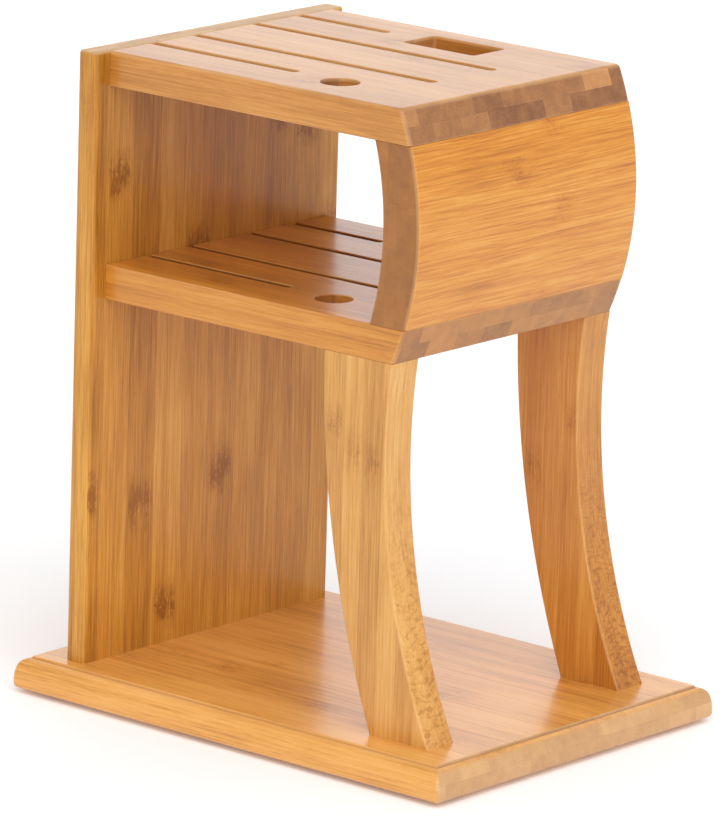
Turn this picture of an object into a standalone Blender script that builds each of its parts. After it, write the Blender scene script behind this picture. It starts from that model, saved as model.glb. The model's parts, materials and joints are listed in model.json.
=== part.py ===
"""Open bamboo knife stand.

A base board carries an upright back panel and two curved legs.  Two slotted decks run from the panel
to the front, where a bowed panel stands between them and the legs stand under the lower one.  The
boards are glued, dowelled and screwed, so nothing moves.

X is the width, -Y the bowed front and +Z up.  The origin lies on the worktop, under the middle of the
base board.  A reach is a distance forward from the front face of the back panel.
"""

import math

import bmesh
import bpy
from mathutils import Matrix

# Back panel
PANEL_WIDTH = 0.181
PANEL_THICKNESS = 0.0125
PANEL_HEIGHT = 0.3014
PANEL_EDGE_RADIUS = 0.003

# Base board: its margins are measured past the back panel and the legs' toes
BASE_THICKNESS = 0.016
BASE_SIDE_MARGIN = 0.014
BASE_BACK_MARGIN = 0.022
BASE_FRONT_MARGIN = 0.0263
MOULDING_STEP = 0.0012
MOULDING_LEDGE = 0.0004
MOULDING_RADIUS = 0.0063

# Decks and the bowed front panel between them
DECK_THICKNESS = 0.017
DECK_SIDE_INSET = 0.0092
BAY_HEIGHT = 0.0872
BOW_REACH = 0.1945
BOW_THICKNESS = 0.0223
BOW_OUTER_RADIUS = 0.146
BOW_INNER_RADIUS = 0.150

# Openings in both decks: side distances are to a centre line, setbacks are behind the bow's inner face
SLOT_WIDTH = 0.0046
LONG_SLOT_SETBACK = 0.0142
SLOT_TO_HOLE_GAP = 0.0202
LEFT_SHORT_SLOT_SIDE = 0.0303
LEFT_LONG_SLOT_SIDE = 0.0608
RIGHT_LONG_SLOT_SIDE = 0.0583
RIGHT_SHORT_SLOT_SIDE = 0.0254
STEEL_HOLE_DIAMETER = 0.0185
STEEL_HOLE_SIDE = 0.0268
STEEL_HOLE_SETBACK = 0.0442
SCISSORS_HOLE_WIDTH = 0.024
SCISSORS_HOLE_LENGTH = 0.044
SCISSORS_HOLE_SIDE = 0.0269
SCISSORS_HOLE_SETBACK = 0.0437
SCISSORS_HOLE_CORNER = 0.0015

# Legs: the waist is where the front edge reaches least, measured down from the lower deck
LEG_THICKNESS = 0.0195
LEG_TOP_DEPTH = 0.0422
LEG_WAIST_DROP = 0.042
LEG_FRONT_RADIUS = 0.318
LEG_BACK_RADIUS = 0.485

# Foot pads
PAD_DIAMETER = 0.013
PAD_HEIGHT = 0.002
PAD_CHAMFER = 0.0004
PAD_EDGE_DISTANCE = 0.020

# Wood screws
SCREW_LENGTH = 0.040
SCREW_DIAMETER = 0.004
SCREW_TIP = 0.005
PILOT_EXTRA_DEPTH = 0.0006
HEAD_DIAMETER = 0.008
HEAD_RIM = 0.0004
HEAD_CONE = 0.0026
RECESS_SPAN = 0.0046
RECESS_BLADE = 0.0010
RECESS_DEPTH = 0.0018
BASE_SCREW_SIDE = 0.0255
HEEL_TO_SCREW = 0.0107

# Dowels
DOWEL_DIAMETER = 0.006
DOWEL_CHAMFER = 0.0006
SHORT_HOLD = 0.010
LONG_HOLD = 0.018
PANEL_HOLD = 0.008
BOW_DOWEL_SIDE = 0.030
LEG_DOWEL_EDGE = 0.0107
TOE_TO_DOWEL = 0.0125
TOE_DOWEL_HOLD = 0.012
BASE_DOWEL_HOLD = 0.009

# Fits and finish
GLUE_GAP = 0.0003
HOLE_CLEARANCE = 0.0003
OVERCUT = 0.002
EDGE_EASING = 0.0008
EASING_SEGMENTS = 2
ARC_SEGMENTS = 20
ROUND_STEPS = 32
SMALL_ROUND_STEPS = 20
SHARP_ANGLE = math.radians(35)
WELD_DISTANCE = 0.00001
FLAT_ANGLE = math.radians(0.2)

# Heights
BASE_BOTTOM = PAD_HEIGHT + GLUE_GAP
BASE_TOP = BASE_BOTTOM + BASE_THICKNESS
PANEL_BOTTOM = BASE_TOP + GLUE_GAP
PANEL_TOP = PANEL_BOTTOM + PANEL_HEIGHT
UPPER_DECK_BOTTOM = PANEL_TOP - DECK_THICKNESS
LOWER_DECK_TOP = UPPER_DECK_BOTTOM - BAY_HEIGHT
LOWER_DECK_BOTTOM = LOWER_DECK_TOP - DECK_THICKNESS
BAY_MIDDLE = (UPPER_DECK_BOTTOM + LOWER_DECK_TOP) / 2
LEG_BOTTOM = BASE_TOP + GLUE_GAP
LEG_TOP = LOWER_DECK_BOTTOM - GLUE_GAP


def arc_drop(radius, offset):
    """How far an arc falls away from its crown at this offset from it."""
    return radius - math.sqrt(radius**2 - offset**2)


def bow_reach(height):
    """Reach of the bowed front at this height, on the decks' front edges too."""
    return BOW_REACH - arc_drop(BOW_OUTER_RADIUS, height - BAY_MIDDLE)


def bow_inner_reach(height):
    return BOW_REACH - BOW_THICKNESS - arc_drop(BOW_INNER_RADIUS, height - BAY_MIDDLE)


def leg_front_reach(height):
    waist = LEG_TOP - LEG_WAIST_DROP
    waist_reach = bow_reach(LEG_TOP) - arc_drop(LEG_FRONT_RADIUS, LEG_WAIST_DROP)
    return waist_reach + arc_drop(LEG_FRONT_RADIUS, height - waist)


def leg_back_reach(height):
    return bow_reach(LEG_TOP) - LEG_TOP_DEPTH + arc_drop(LEG_BACK_RADIUS, LEG_TOP - height)


# Plan sizes that follow from the above
TOE_REACH = leg_front_reach(LEG_BOTTOM)
HEEL_REACH = leg_back_reach(LEG_BOTTOM)
BAY_DEPTH = bow_inner_reach(UPPER_DECK_BOTTOM)
BASE_WIDTH = PANEL_WIDTH + 2 * BASE_SIDE_MARGIN
BASE_DEPTH = BASE_BACK_MARGIN + PANEL_THICKNESS + TOE_REACH + BASE_FRONT_MARGIN
PANEL_FRONT_Y = BASE_DEPTH / 2 - BASE_BACK_MARGIN - PANEL_THICKNESS
PANEL_BACK_Y = PANEL_FRONT_Y + PANEL_THICKNESS
PANEL_MIDDLE_Y = PANEL_FRONT_Y + PANEL_THICKNESS / 2
DECK_HALF_WIDTH = PANEL_WIDTH / 2 - DECK_SIDE_INSET
LEG_MIDDLE_X = DECK_HALF_WIDTH - LEG_THICKNESS / 2
STEEL_HOLE_REACH = BAY_DEPTH - STEEL_HOLE_SETBACK
SCISSORS_HOLE_FRONT = BAY_DEPTH - SCISSORS_HOLE_SETBACK
SCISSORS_HOLE_BACK = SCISSORS_HOLE_FRONT - SCISSORS_HOLE_LENGTH

# Each slot runs from the decks' back edge: its centre line and its length
SLOTS = {
    "left_short_slot": (
        LEFT_SHORT_SLOT_SIDE - DECK_HALF_WIDTH,
        STEEL_HOLE_REACH - STEEL_HOLE_DIAMETER / 2 - SLOT_TO_HOLE_GAP,
    ),
    "left_long_slot": (LEFT_LONG_SLOT_SIDE - DECK_HALF_WIDTH, BAY_DEPTH - LONG_SLOT_SETBACK),
    "right_long_slot": (DECK_HALF_WIDTH - RIGHT_LONG_SLOT_SIDE, BAY_DEPTH - LONG_SLOT_SETBACK),
    "right_short_slot": (DECK_HALF_WIDTH - RIGHT_SHORT_SLOT_SIDE, SCISSORS_HOLE_BACK - SLOT_TO_HOLE_GAP),
}


def finger_middles():
    """X of the middle of each of the five fingers that the slots leave at the decks' back edge."""
    edges = [-DECK_HALF_WIDTH]
    for middle, _ in SLOTS.values():
        edges += [middle - SLOT_WIDTH / 2, middle + SLOT_WIDTH / 2]
    edges.append(DECK_HALF_WIDTH)
    return [(edges[i] + edges[i + 1]) / 2 for i in range(0, len(edges), 2)]


def y_at(reach):
    return PANEL_FRONT_Y - reach


def spaced(start, end, count):
    """Count + 1 even values from start to end."""
    return [start + (end - start) * i / count for i in range(count + 1)]


# Scene, collections and materials


def clear_scene():
    for old in list(bpy.data.objects):
        bpy.data.objects.remove(old, do_unlink=True)


def new_collection(name, hidden=False):
    collection = bpy.data.collections.new(name)
    collection.hide_render = hidden
    bpy.context.scene.collection.children.link(collection)
    return collection


clear_scene()
PARTS = new_collection("Knife_stand")
CUTTERS = new_collection("Cutters", hidden=True)


def new_material(name, colour, roughness, metallic=0.0):
    material = bpy.data.materials.new(name)
    material.use_nodes = True
    surface = material.node_tree.nodes["Principled BSDF"]
    surface.inputs["Base Color"].default_value = (*colour, 1.0)
    surface.inputs["Roughness"].default_value = roughness
    surface.inputs["Metallic"].default_value = metallic
    material.diffuse_color = (*colour, 1.0)
    return material


# Modelling helpers


def new_object(name, mesh, collection=PARTS):
    created = bpy.data.objects.new(name, mesh)
    collection.objects.link(created)
    if collection is CUTTERS:
        created.hide_render = True
        created.display_type = "WIRE"
    return created


def baked_mesh(source, name):
    """The evaluated mesh of an object, welded; the object itself is removed."""
    depsgraph = bpy.context.evaluated_depsgraph_get()
    mesh = bpy.data.meshes.new_from_object(source.evaluated_get(depsgraph), depsgraph=depsgraph)
    mesh.name = name
    shape = bmesh.new()
    shape.from_mesh(mesh)
    bmesh.ops.remove_doubles(shape, verts=shape.verts, dist=WELD_DISTANCE)
    bmesh.ops.dissolve_limit(shape, angle_limit=FLAT_ANGLE, verts=shape.verts, edges=shape.edges)
    shape.to_mesh(mesh)
    shape.free()
    bpy.data.objects.remove(source, do_unlink=True)
    return mesh


def outline_mesh(name, outline, thickness):
    """A flat outline in X and Y, extruded to this thickness about Z = 0."""
    curve = bpy.data.curves.new(name, "CURVE")
    curve.dimensions = "2D"
    curve.fill_mode = "BOTH"
    curve.extrude = thickness / 2
    spline = curve.splines.new("POLY")
    spline.points.add(len(outline) - 1)
    for point, (x, y) in zip(spline.points, outline):
        point.co = (x, y, 0.0, 1.0)
    spline.use_cyclic_u = True
    drawn = new_object(name, curve)
    return baked_mesh(drawn, name)


def side_view_mesh(name, outline, thickness):
    """An outline of (reach, height) points, extruded across the width about X = 0, in world axes."""
    mesh = outline_mesh(name, outline, thickness)
    turn = Matrix(((0, 0, -1), (-1, 0, 0), (0, 1, 0))).to_4x4()
    mesh.transform(Matrix.Translation((0, PANEL_FRONT_Y, 0)) @ turn)
    return mesh


def box_mesh(name, width, depth, height):
    mesh = bpy.data.meshes.new(name)
    shape = bmesh.new()
    bmesh.ops.create_cube(shape, size=1.0)
    bmesh.ops.scale(shape, vec=(width, depth, height), verts=shape.verts)
    shape.to_mesh(mesh)
    shape.free()
    return mesh


def turned_mesh(name, profile, steps):
    """A solid turned about Z from (radius, height) points that run down its outer side."""
    mesh = bpy.data.meshes.new(name)
    points = [(radius, 0.0, height) for radius, height in profile]
    mesh.from_pydata(points, [(i, i + 1) for i in range(len(points) - 1)], [])
    drawn = new_object(name, mesh)
    lathe = drawn.modifiers.new("Lathe", "SCREW")
    lathe.steps = steps
    lathe.render_steps = steps
    lathe.use_merge_vertices = True
    lathe.merge_threshold = WELD_DISTANCE
    return baked_mesh(drawn, name)


def ease_edges(mesh, chosen, radius=EDGE_EASING, segments=EASING_SEGMENTS):
    """Round the sharp edges whose two ends satisfy chosen(a, b)."""
    shape = bmesh.new()
    shape.from_mesh(mesh)
    sharp = [e for e in shape.edges if e.calc_face_angle(0.0) > SHARP_ANGLE]
    edges = [e for e in sharp if chosen(e.verts[0].co, e.verts[1].co)]
    bmesh.ops.bevel(
        shape, geom=edges, offset=radius, segments=segments, profile=0.5, affect="EDGES", clamp_overlap=True
    )
    shape.to_mesh(mesh)
    shape.free()


def cut(target, cutter):
    boolean = target.modifiers.new("Cut " + cutter.name, "BOOLEAN")
    boolean.operation = "DIFFERENCE"
    boolean.solver = "EXACT"
    boolean.object = cutter


def finish(part, material):
    """Shading and material; the material sits on the object so that copies can share a mesh."""
    part.data.shade_smooth()
    part.data.set_sharp_from_angle(angle=SHARP_ANGLE)
    if not part.data.materials:
        part.data.materials.append(material)
    part.material_slots[0].link = "OBJECT"
    part.material_slots[0].material = material


# Boards


def moulding_insets():
    """(inset, rise) of each stage from the board's upright edge up to its top face."""
    angles = spaced(0, math.pi / 2, 6)
    arc = [(MOULDING_RADIUS * (1 - math.cos(a)), MOULDING_RADIUS * math.sin(a)) for a in angles]
    stages = [(arc[i + 1][0] - arc[i][0], arc[i + 1][1] - arc[i][1]) for i in range(len(arc) - 1)]
    return stages + [(MOULDING_LEDGE, 0.0), (MOULDING_LEDGE / 4, MOULDING_STEP)]


def build_base_board(material):
    upright = BASE_THICKNESS - MOULDING_STEP - MOULDING_RADIUS
    mesh = box_mesh("base_board", BASE_WIDTH, BASE_DEPTH, upright)
    shape = bmesh.new()
    shape.from_mesh(mesh)
    bmesh.ops.translate(shape, vec=(0, 0, BASE_BOTTOM + upright / 2), verts=shape.verts)
    top = max(shape.faces, key=lambda face: face.calc_center_median().z)
    for inset, rise in moulding_insets():
        bmesh.ops.inset_individual(shape, faces=[top], thickness=inset, depth=rise)
    shape.to_mesh(mesh)
    shape.free()
    ease_edges(mesh, lambda a, b: max(a.z, b.z) < BASE_BOTTOM + upright / 2)
    board = new_object("base_board", mesh)
    finish(board, material)
    return board


def build_back_panel(material):
    mesh = box_mesh("back_panel", PANEL_WIDTH, PANEL_THICKNESS, PANEL_HEIGHT)
    mesh.transform(Matrix.Translation((0, PANEL_MIDDLE_Y, PANEL_BOTTOM + PANEL_HEIGHT / 2)))
    middle = PANEL_BOTTOM + PANEL_HEIGHT / 2
    ease_edges(mesh, lambda a, b: (a.z - middle) * (b.z - middle) < 0, PANEL_EDGE_RADIUS, 4)
    ease_edges(mesh, lambda a, b: min(a.z, b.z) > middle and max(a.y, b.y) > PANEL_MIDDLE_Y)
    panel = new_object("back_panel", mesh)
    finish(panel, material)
    return panel


def build_deck(name, bottom, material):
    top = bottom + DECK_THICKNESS
    front = [(bow_reach(z), z) for z in spaced(bottom, top, 6)]
    outline = [(GLUE_GAP, bottom), *front, (GLUE_GAP, top)]
    mesh = side_view_mesh(name, outline, 2 * DECK_HALF_WIDTH)
    outer_face = top if bottom > BAY_MIDDLE else bottom

    def outside(a, b):
        along_side = abs(a.x - b.x) < WELD_DISTANCE
        upright = abs(a.z - b.z) > DECK_THICKNESS / 2
        at_panel = max(a.y, b.y) > y_at(2 * GLUE_GAP) and not along_side
        at_bow = not along_side and abs(a.z - outer_face) > DECK_THICKNESS / 2
        return not (at_panel or at_bow or upright)

    ease_edges(mesh, outside)
    deck = new_object(name, mesh)
    finish(deck, material)
    return deck


def build_bowed_front(material):
    low = LOWER_DECK_TOP + GLUE_GAP
    high = UPPER_DECK_BOTTOM - GLUE_GAP
    outer = [(bow_reach(z), z) for z in spaced(low, high, ARC_SEGMENTS)]
    inner = [(bow_inner_reach(z), z) for z in spaced(high, low, ARC_SEGMENTS)]
    mesh = side_view_mesh("bowed_front_panel", outer + inner, 2 * DECK_HALF_WIDTH)
    ease_edges(mesh, lambda a, b: abs(a.x - b.x) < WELD_DISTANCE and abs(a.y - b.y) < BOW_THICKNESS / 2)
    panel = new_object("bowed_front_panel", mesh)
    finish(panel, material)
    return panel


def build_leg(name, side, material):
    front = [(leg_front_reach(z), z) for z in spaced(LEG_BOTTOM, LEG_TOP, ARC_SEGMENTS)]
    back = [(leg_back_reach(z), z) for z in spaced(LEG_TOP, LEG_BOTTOM, ARC_SEGMENTS)]
    mesh = side_view_mesh(name, front + back, LEG_THICKNESS)
    ease_edges(mesh, lambda a, b: abs(a.x - b.x) < WELD_DISTANCE and abs(a.z - b.z) > WELD_DISTANCE)
    leg = new_object(name, mesh)
    leg.location.x = side * LEG_MIDDLE_X
    finish(leg, material)
    return leg


# Openings that run through both decks


def cut_through_decks(name, outline, decks):
    """One tall cutter with this plan outline of (x, reach) points, for both decks."""
    low = LOWER_DECK_BOTTOM - OVERCUT
    high = PANEL_TOP + OVERCUT
    plan = [(x, y_at(reach)) for x, reach in outline]
    mesh = outline_mesh(name, plan, high - low)
    cutter = new_object(name, mesh, CUTTERS)
    cutter.location.z = (low + high) / 2
    for deck in decks:
        cut(deck, cutter)


def slot_outline(middle, length):
    """Open past the back edge, with a round end at the front."""
    radius = SLOT_WIDTH / 2
    end = [(middle + radius * math.cos(a), length - radius + radius * math.sin(a)) for a in spaced(0, math.pi, 8)]
    return [(middle - radius, -OVERCUT), (middle + radius, -OVERCUT), *end]


def steel_hole_outline():
    radius = STEEL_HOLE_DIAMETER / 2
    middle = STEEL_HOLE_SIDE - DECK_HALF_WIDTH
    angles = spaced(0, 2 * math.pi, ROUND_STEPS)[:-1]
    return [(middle + radius * math.cos(a), STEEL_HOLE_REACH + radius * math.sin(a)) for a in angles]


def scissors_hole_outline():
    """A rectangle with small round corners."""
    middle = DECK_HALF_WIDTH - SCISSORS_HOLE_SIDE
    half_width = SCISSORS_HOLE_WIDTH / 2 - SCISSORS_HOLE_CORNER
    half_length = SCISSORS_HOLE_LENGTH / 2 - SCISSORS_HOLE_CORNER
    middle_reach = (SCISSORS_HOLE_FRONT + SCISSORS_HOLE_BACK) / 2
    outline = []
    for quarter, (x_side, y_side) in enumerate([(1, 1), (-1, 1), (-1, -1), (1, -1)]):
        for a in spaced(quarter * math.pi / 2, (quarter + 1) * math.pi / 2, 3):
            x = middle + x_side * half_width + SCISSORS_HOLE_CORNER * math.cos(a)
            reach = middle_reach + y_side * half_length + SCISSORS_HOLE_CORNER * math.sin(a)
            outline.append((x, reach))
    return outline


def cut_deck_openings(decks):
    for name, (middle, length) in SLOTS.items():
        cut_through_decks(name, slot_outline(middle, length), decks)
    cut_through_decks("steel_hole", steel_hole_outline(), decks)
    cut_through_decks("scissors_hole", scissors_hole_outline(), decks)


# Fasteners.  A screw's origin is the middle of its head and it points along its own -Z.
# A dowel's origin is on the joint that it crosses and it lies along its own Z.


def screw_profile(clearance=0.0):
    head = HEAD_DIAMETER / 2 + clearance
    shank = SCREW_DIAMETER / 2 + clearance
    top = OVERCUT if clearance else 0.0
    tip = -SCREW_LENGTH - (clearance + PILOT_EXTRA_DEPTH if clearance else 0.0)
    return [
        (0, top),
        (head, top),
        (head, -HEAD_RIM),
        (shank, -HEAD_RIM - HEAD_CONE),
        (shank, tip + SCREW_TIP),
        (0, tip),
    ]


def screw_mesh():
    """A countersunk wood screw with a cross recess."""
    body = new_object("wood_screw", turned_mesh("wood_screw", screw_profile(), SMALL_ROUND_STEPS))
    blade = box_mesh("recess", RECESS_SPAN, RECESS_BLADE, 2 * RECESS_DEPTH)
    blades = [new_object("recess", blade, CUTTERS) for _ in range(2)]
    blades[1].rotation_euler.z = math.pi / 2
    for cutter in blades:
        cut(body, cutter)
    mesh = baked_mesh(body, "wood_screw")
    for cutter in blades:
        bpy.data.objects.remove(cutter, do_unlink=True)
    return mesh


def dowel_profile(up, down, clearance=0.0):
    """A pin that reaches up and down from the joint, with chamfered ends."""
    radius = DOWEL_DIAMETER / 2 + clearance
    high = up + clearance
    low = -down - clearance
    return [
        (0, high),
        (radius - DOWEL_CHAMFER, high),
        (radius, high - DOWEL_CHAMFER),
        (radius, low + DOWEL_CHAMFER),
        (radius - DOWEL_CHAMFER, low),
        (0, low),
    ]


def place(part, location, tilt=0.0):
    """Set an object's location and its turn about X."""
    part.location = location
    part.rotation_euler.x = tilt


def add_fastener(name, mesh, hole_mesh, location, tilt, boards, material):
    part = new_object(name, mesh)
    place(part, location, tilt)
    finish(part, material)
    hole = new_object(name + "_hole", hole_mesh, CUTTERS)
    place(hole, location, tilt)
    for board in boards:
        cut(board, hole)


def add_screws(boards, material):
    mesh = screw_mesh()
    hole = turned_mesh("wood_screw_hole", screw_profile(HOLE_CLEARANCE), SMALL_ROUND_STEPS)
    upward = math.pi
    forward = -math.pi / 2
    base, panel = boards["base_board"], boards["back_panel"]

    outer_x = PANEL_WIDTH / 2 - BASE_SCREW_SIDE
    for side, x in {"left": -outer_x, "middle": 0.0, "right": outer_x}.items():
        place_at = (x, PANEL_MIDDLE_Y, BASE_BOTTOM)
        add_fastener("base_panel_screw_" + side, mesh, hole, place_at, upward, [base, panel], material)

    for side, x in {"left": -LEG_MIDDLE_X, "right": LEG_MIDDLE_X}.items():
        place_at = (x, y_at(HEEL_REACH + HEEL_TO_SCREW), BASE_BOTTOM)
        leg = boards[side + "_leg"]
        add_fastener("base_leg_screw_" + side, mesh, hole, place_at, upward, [base, leg], material)

    fingers = finger_middles()
    for deck_name, bottom in {"upper_deck": UPPER_DECK_BOTTOM, "lower_deck": LOWER_DECK_BOTTOM}.items():
        for side, x in {"left": fingers[1], "right": fingers[3]}.items():
            place_at = (x, PANEL_BACK_Y, bottom + DECK_THICKNESS / 2)
            name = f"{deck_name}_screw_{side}"
            add_fastener(name, mesh, hole, place_at, forward, [panel, boards[deck_name]], material)


def add_dowels(boards, material):
    def dowel_kind(up, down):
        name = "dowel"
        mesh = turned_mesh(name, dowel_profile(up, down), SMALL_ROUND_STEPS)
        hole = turned_mesh(name + "_hole", dowel_profile(up, down, HOLE_CLEARANCE), SMALL_ROUND_STEPS)
        return mesh, hole

    sides = {"left": -1, "right": 1}
    upper, lower, bow = boards["upper_deck"], boards["lower_deck"], boards["bowed_front_panel"]

    rising, rising_hole = dowel_kind(SHORT_HOLD, LONG_HOLD)
    bow_x = DECK_HALF_WIDTH - BOW_DOWEL_SIDE
    bow_end = (bow_reach(UPPER_DECK_BOTTOM) + bow_inner_reach(UPPER_DECK_BOTTOM)) / 2
    for side, sign in sides.items():
        at_top = (sign * bow_x, y_at(bow_end), UPPER_DECK_BOTTOM)
        add_fastener("bow_top_dowel_" + side, rising, rising_hole, at_top, 0.0, [upper, bow], material)
        at_bottom = (sign * bow_x, y_at(bow_end), LOWER_DECK_TOP)
        add_fastener("bow_bottom_dowel_" + side, rising, rising_hole, at_bottom, math.pi, [lower, bow], material)

    leg_front = leg_front_reach(LEG_TOP) - LEG_DOWEL_EDGE
    leg_back = leg_back_reach(LEG_TOP) + LEG_DOWEL_EDGE
    for side, sign in sides.items():
        for end, reach in {"front": leg_front, "back": leg_back}.items():
            name = f"leg_top_dowel_{side}_{end}"
            place_at = (sign * LEG_MIDDLE_X, y_at(reach), LOWER_DECK_BOTTOM)
            add_fastener(name, rising, rising_hole, place_at, 0.0, [lower, boards[side + "_leg"]], material)

    toe, toe_hole = dowel_kind(TOE_DOWEL_HOLD, BASE_DOWEL_HOLD)
    for side, sign in sides.items():
        place_at = (sign * LEG_MIDDLE_X, y_at(TOE_REACH - TOE_TO_DOWEL), LEG_BOTTOM)
        pair = [boards["base_board"], boards[side + "_leg"]]
        add_fastener("leg_foot_dowel_" + side, toe, toe_hole, place_at, 0.0, pair, material)

    back, back_hole = dowel_kind(PANEL_HOLD, LONG_HOLD)
    fingers = finger_middles()
    for deck_name, bottom in {"upper_deck": UPPER_DECK_BOTTOM, "lower_deck": LOWER_DECK_BOTTOM}.items():
        for side, x in {"left": fingers[0], "right": fingers[-1]}.items():
            place_at = (x, PANEL_FRONT_Y, bottom + DECK_THICKNESS / 2)
            pair = [boards["back_panel"], boards[deck_name]]
            name = f"{deck_name}_dowel_{side}"
            add_fastener(name, back, back_hole, place_at, -math.pi / 2, pair, material)


def add_foot_pads(material):
    radius = PAD_DIAMETER / 2
    profile = [
        (0, PAD_HEIGHT),
        (radius, PAD_HEIGHT),
        (radius, PAD_CHAMFER),
        (radius - PAD_CHAMFER, 0),
        (0, 0),
    ]
    mesh = turned_mesh("foot_pad", profile, ROUND_STEPS)
    for end, y_side in {"front": -1, "back": 1}.items():
        for side, x_side in {"left": -1, "right": 1}.items():
            pad = new_object(f"foot_pad_{end}_{side}", mesh)
            pad.location.x = x_side * (BASE_WIDTH / 2 - PAD_EDGE_DISTANCE)
            pad.location.y = y_side * (BASE_DEPTH / 2 - PAD_EDGE_DISTANCE)
            finish(pad, material)


def build_boards():
    boards = [
        build_base_board(new_material("bamboo_base", (0.62, 0.36, 0.16), 0.42)),
        build_back_panel(new_material("bamboo_back", (0.56, 0.31, 0.12), 0.42)),
        build_deck("upper_deck", UPPER_DECK_BOTTOM, new_material("bamboo_upper_deck", (0.72, 0.47, 0.27), 0.40)),
        build_deck("lower_deck", LOWER_DECK_BOTTOM, new_material("bamboo_lower_deck", (0.58, 0.34, 0.15), 0.40)),
        build_bowed_front(new_material("bamboo_bow", (0.66, 0.36, 0.13), 0.36)),
        build_leg("left_leg", -1, new_material("bamboo_left_leg", (0.60, 0.35, 0.14), 0.42)),
        build_leg("right_leg", 1, new_material("bamboo_right_leg", (0.60, 0.33, 0.12), 0.42)),
    ]
    return {board.name: board for board in boards}


def build_stand():
    boards = build_boards()
    cut_deck_openings([boards["upper_deck"], boards["lower_deck"]])
    add_screws(boards, new_material("zinc_plated_steel", (0.66, 0.66, 0.64), 0.32, 1.0))
    add_dowels(boards, new_material("birch_dowel", (0.74, 0.56, 0.36), 0.60))
    add_foot_pads(new_material("black_rubber", (0.02, 0.02, 0.02), 0.75))


build_stand()
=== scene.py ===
"""Open bamboo knife stand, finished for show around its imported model.

The sections follow the stand as it is put together: base board, pads, back panel, slotted decks, curved
boards, screws and dowels, and then the studio.  Lengths are in metres.  -Y is the bowed front and +Z is up.
"""

import json
import math

import bmesh
import bpy
from mathutils import Matrix, Vector


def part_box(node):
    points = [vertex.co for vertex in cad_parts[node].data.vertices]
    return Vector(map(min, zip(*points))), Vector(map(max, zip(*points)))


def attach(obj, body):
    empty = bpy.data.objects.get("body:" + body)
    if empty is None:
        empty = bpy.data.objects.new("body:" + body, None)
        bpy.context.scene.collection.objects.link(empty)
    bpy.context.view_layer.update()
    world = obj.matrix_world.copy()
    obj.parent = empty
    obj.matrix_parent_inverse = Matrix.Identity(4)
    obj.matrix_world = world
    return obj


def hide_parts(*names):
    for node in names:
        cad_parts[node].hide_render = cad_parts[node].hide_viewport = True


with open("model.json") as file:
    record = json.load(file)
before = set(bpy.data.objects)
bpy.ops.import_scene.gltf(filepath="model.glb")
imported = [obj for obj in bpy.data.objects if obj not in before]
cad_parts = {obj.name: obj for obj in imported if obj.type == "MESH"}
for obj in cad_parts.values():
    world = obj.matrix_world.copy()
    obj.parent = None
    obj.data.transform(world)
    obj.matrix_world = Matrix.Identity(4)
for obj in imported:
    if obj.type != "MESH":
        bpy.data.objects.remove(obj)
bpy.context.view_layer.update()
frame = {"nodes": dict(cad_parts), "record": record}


# Base board.  A slab of laminated bamboo whose staves run front to back, with a quarter-round and a small
# step moulded round its top edge, a light easing below, and a rubbed satin lacquer.  It carries the rest.

MOULDING_REACH = 0.0063
MOULDING_DROP = 0.0105
MOULDING_LEDGE = 0.0004
MOULDING_STEP = 0.0012
MOULDING_GROOVE = 0.0004
STEP_EASING = 0.0003
UNDERSIDE_EASING = 0.0024
BASE_CORNER = 0.0024
MOULDING_STEPS = 12
ROUND_STEPS = 4
SMALLEST_CORNER = 0.0002
ARRIS_STRIP = 0.0009
SHARP_ANGLE = math.radians(40)
LEVEL = 0.999
CANE_JOINT_SPACING = 0.285
SCAR_WANDER = 0.022
SCAR_SPREAD = 0.016
SCAR_LINE = (0.0002, 0.0009)
GRAIN_WANDER = 0.004
STAVE_GLUE = 0.0004
PLY_GLUE = 0.0003
BUMP_HEIGHT = 0.0003
# A light tan for the eased arrises: rubbed finish and painted highlight.
RUBBED_AND_HIGHLIGHT_TONE = (0.86, 0.56, 0.28, 1.0)
# A dark brown for painted shade in creases and deep slots.
PAINTED_SHADE_TONE = (0.16, 0.06, 0.02, 1.0)


class Number:
    """A number that varies from place to place; arithmetic on it adds Math nodes to its sheet."""

    def __init__(self, sheet, socket):
        self.sheet = sheet
        self.socket = socket

    def maths(self, operation, *values):
        return self.sheet.node("ShaderNodeMath", {"operation": operation}, dict(enumerate(values)))

    def beside(self, output):
        """Another output of the node that this number comes from."""
        return Number(self.sheet, self.socket.node.outputs[output])

    def __add__(self, other):
        return self.maths("ADD", self, other)

    def __sub__(self, other):
        return self.maths("SUBTRACT", self, other)

    def __rsub__(self, other):
        return self.maths("SUBTRACT", other, self)

    def __mul__(self, other):
        return self.maths("MULTIPLY", self, other)

    def __truediv__(self, other):
        return self.maths("DIVIDE", self, other)

    def __pow__(self, other):
        return self.maths("POWER", self, other)

    def __gt__(self, other):
        return self.maths("GREATER_THAN", self, other)

    def __abs__(self):
        return self.maths("ABSOLUTE", self)

    def __floor__(self):
        return self.maths("FLOOR", self)

    __radd__ = __add__
    __rmul__ = __mul__

    def root(self):
        return self.maths("SQRT", self)

    def rise(self, low, high):
        """0 up to low, 1 from high on, and smooth between them."""
        settings = {"interpolation_type": "SMOOTHSTEP"}
        return self.sheet.node("ShaderNodeMapRange", settings, {0: self, 1: low, 2: high, 3: 0.0, 4: 1.0})

    def fall(self, low, high):
        return 1.0 - self.rise(low, high)


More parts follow.
